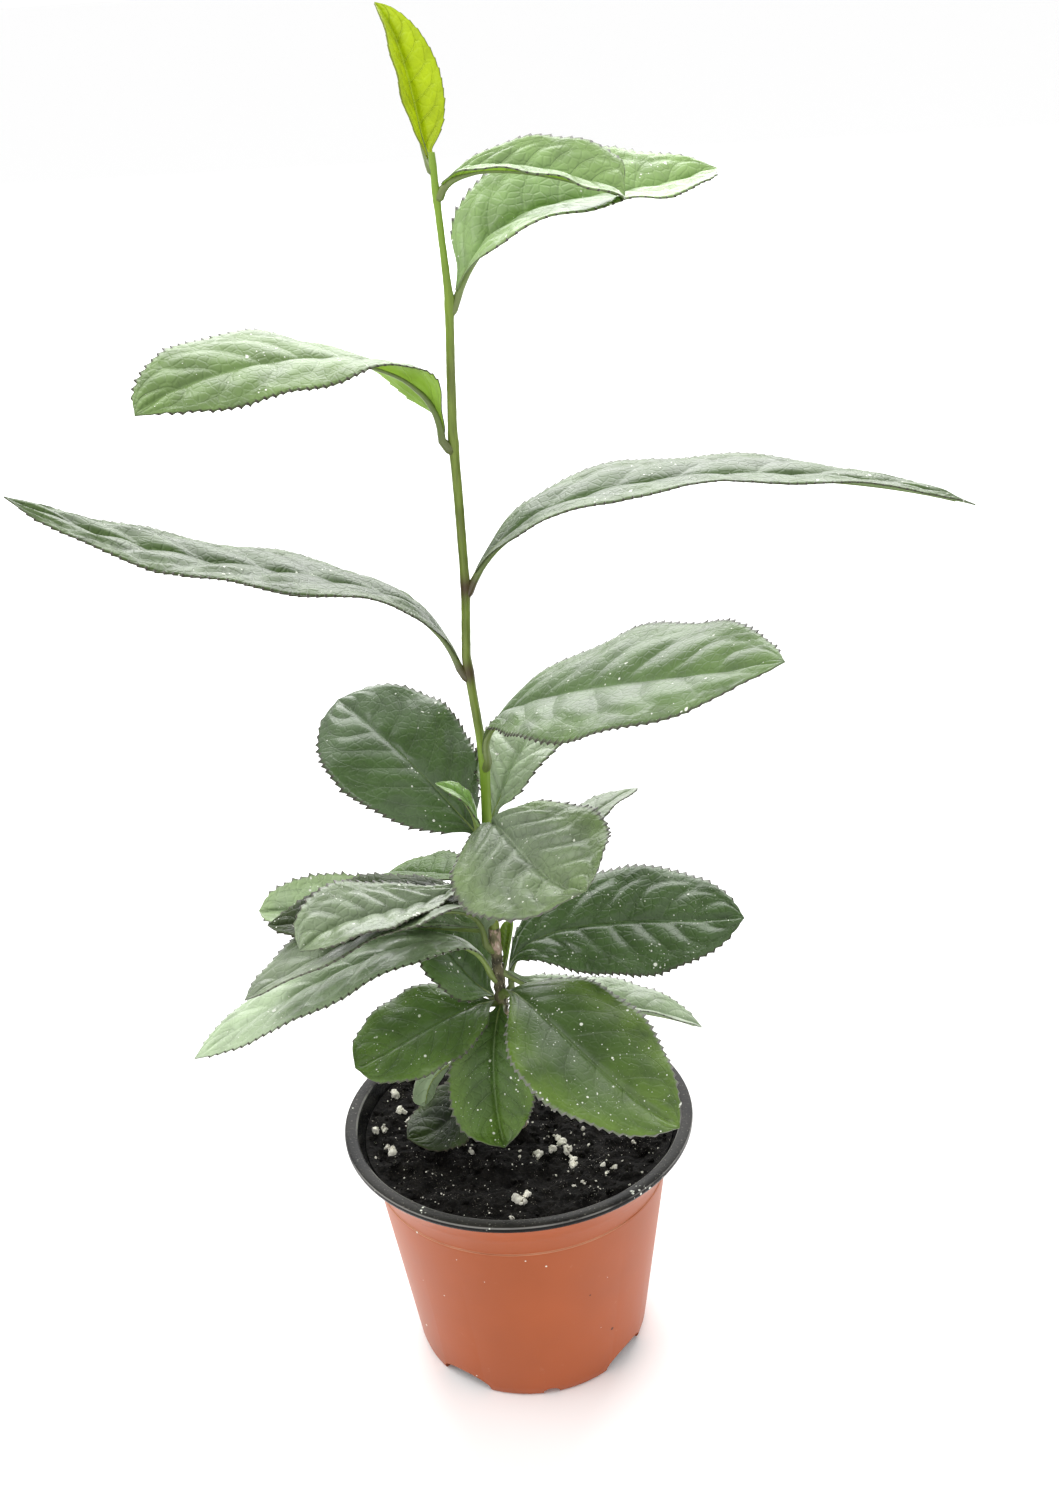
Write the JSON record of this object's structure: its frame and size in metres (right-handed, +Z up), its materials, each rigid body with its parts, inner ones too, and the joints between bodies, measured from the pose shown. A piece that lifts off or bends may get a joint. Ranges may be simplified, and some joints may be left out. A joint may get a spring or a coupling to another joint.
{
  "type": "potted tea plant",
  "caption": "Young tea shrub with one upright stem and serrated leaves, growing in a round terracotta-coloured nursery pot with a black rim.",
  "frame": {"origin": "centre of the pot's flat underside", "axes": "+Z up along the stem, the long right-hand leaf towards +X, the front towards -Y"},
  "size_m": [0.247, 0.1195, 0.388],
  "materials": {
    "terracotta_plastic": "smooth moulded orange-brown plastic with a soft sheen",
    "black_plastic": "dull black plastic with scuffs and crumbs of soil",
    "peat": "dark moist peat with white perlite lumps and specks",
    "bark": "rough brown bark with paler flecks",
    "green_stem": "smooth green stem with brown swollen nodes",
    "leaf_green": "leathery mid-green leaf with sunken veins and a soft gloss",
    "leaf_dark": "leathery dark green leaf with sunken veins and a soft gloss",
    "leaf_pale": "leathery leaf with a pale grey-green sheen",
    "leaf_young": "thin bright yellow-green young leaf"
  },
  "bodies": {
    "root": {"pot": "terracotta_plastic", "liner_and_rim": "black_plastic", "soil": "peat", "stem_woody_base": "bark", "stem_green_shoot": "green_stem", "leaf_top": "leaf_young", "leaf_young_right": "leaf_pale", "leaf_upper_right": "leaf_pale", "leaf_upper_left": "leaf_green", "leaf_long_right": "leaf_pale", "leaf_long_left": "leaf_pale", "leaf_high_front": "leaf_green", "leaf_rear_right": "leaf_pale", "leaf_round_left": "leaf_dark", "leaf_axil_small": "leaf_green", "leaf_front_broad": "leaf_green", "leaf_rear_pale": "leaf_pale", "leaf_left_oval": "leaf_pale", "leaf_rear_left": "leaf_green", "leaf_left_rear": "leaf_pale", "leaf_left_dark": "leaf_dark", "leaf_left_under": "leaf_green", "leaf_hanging_right": "leaf_pale", "leaf_shoot_small": "leaf_young", "leaf_long_front": "leaf_pale", "leaf_low_dark": "leaf_dark", "leaf_big_right": "leaf_dark", "leaf_low_right": "leaf_green", "leaf_low_left": "leaf_green", "leaf_low_front": "leaf_green", "leaf_soil_left": "leaf_dark", "leaf_soil_folded": "leaf_pale"}
  },
  "joints": []
}
